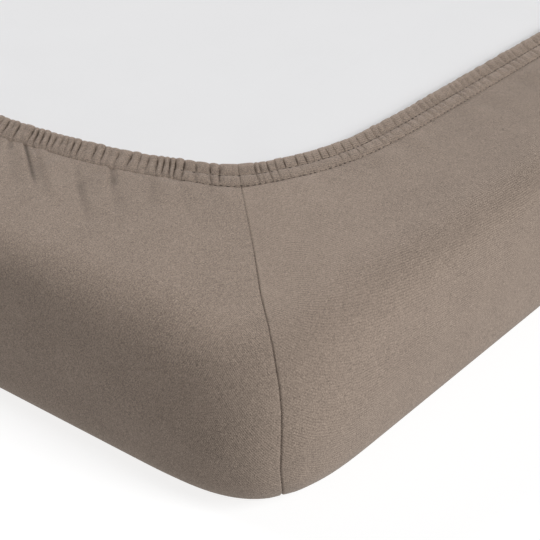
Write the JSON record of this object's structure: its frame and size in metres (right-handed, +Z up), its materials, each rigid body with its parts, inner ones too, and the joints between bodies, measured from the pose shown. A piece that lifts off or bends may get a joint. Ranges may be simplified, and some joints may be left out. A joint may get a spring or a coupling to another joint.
{
  "type": "fitted sheet on a mattress",
  "caption": "Fitted jersey sheet with a gathered elastic hem, drawn over a plain single mattress that lies upside down, so that the hem shows on its bare underside.",
  "frame": {"origin": "centre of the flat face that the covered mattress rests on", "axes": "+X along the mattress, +Y across it, +Z up, from the sleeping side to the underside with the hem"},
  "size_m": [2.0092, 0.9092, 0.1476],
  "materials": {
    "jersey": "matt taupe knit",
    "ticking": "matt off-white, plain"
  },
  "bodies": {
    "root": {"sheet": "jersey", "mattress": "ticking"}
  },
  "joints": []
}
